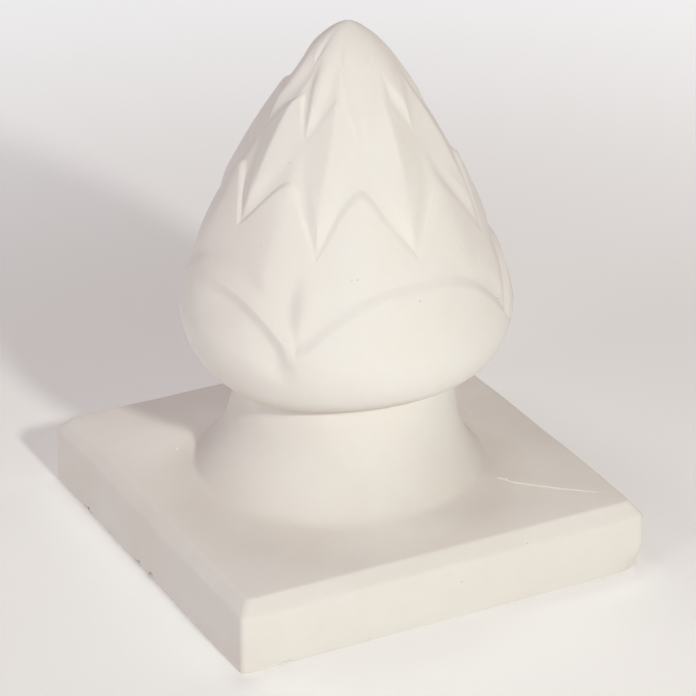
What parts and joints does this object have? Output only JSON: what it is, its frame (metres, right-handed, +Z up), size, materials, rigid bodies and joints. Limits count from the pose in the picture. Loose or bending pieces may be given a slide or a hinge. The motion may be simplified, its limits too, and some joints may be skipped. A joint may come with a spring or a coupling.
{
  "type": "pinecone finial",
  "caption": "Cast stone pinecone finial: a cone of overlapping carved scales on a short flared round neck and a square slab with a chamfered top edge",
  "frame": {"origin": "middle of the flat underside of the slab", "axes": "+Z is up along the cone's axis; the slab's four sides face +X, -X, +Y and -Y"},
  "size_m": [0.2, 0.2, 0.238],
  "materials": {
    "cast_stone": "matt off-white cast stone, fine grained, with small air holes and softly worn edges"
  },
  "bodies": {
    "root": {"pinecone_finial": "cast_stone"}
  },
  "joints": []
}
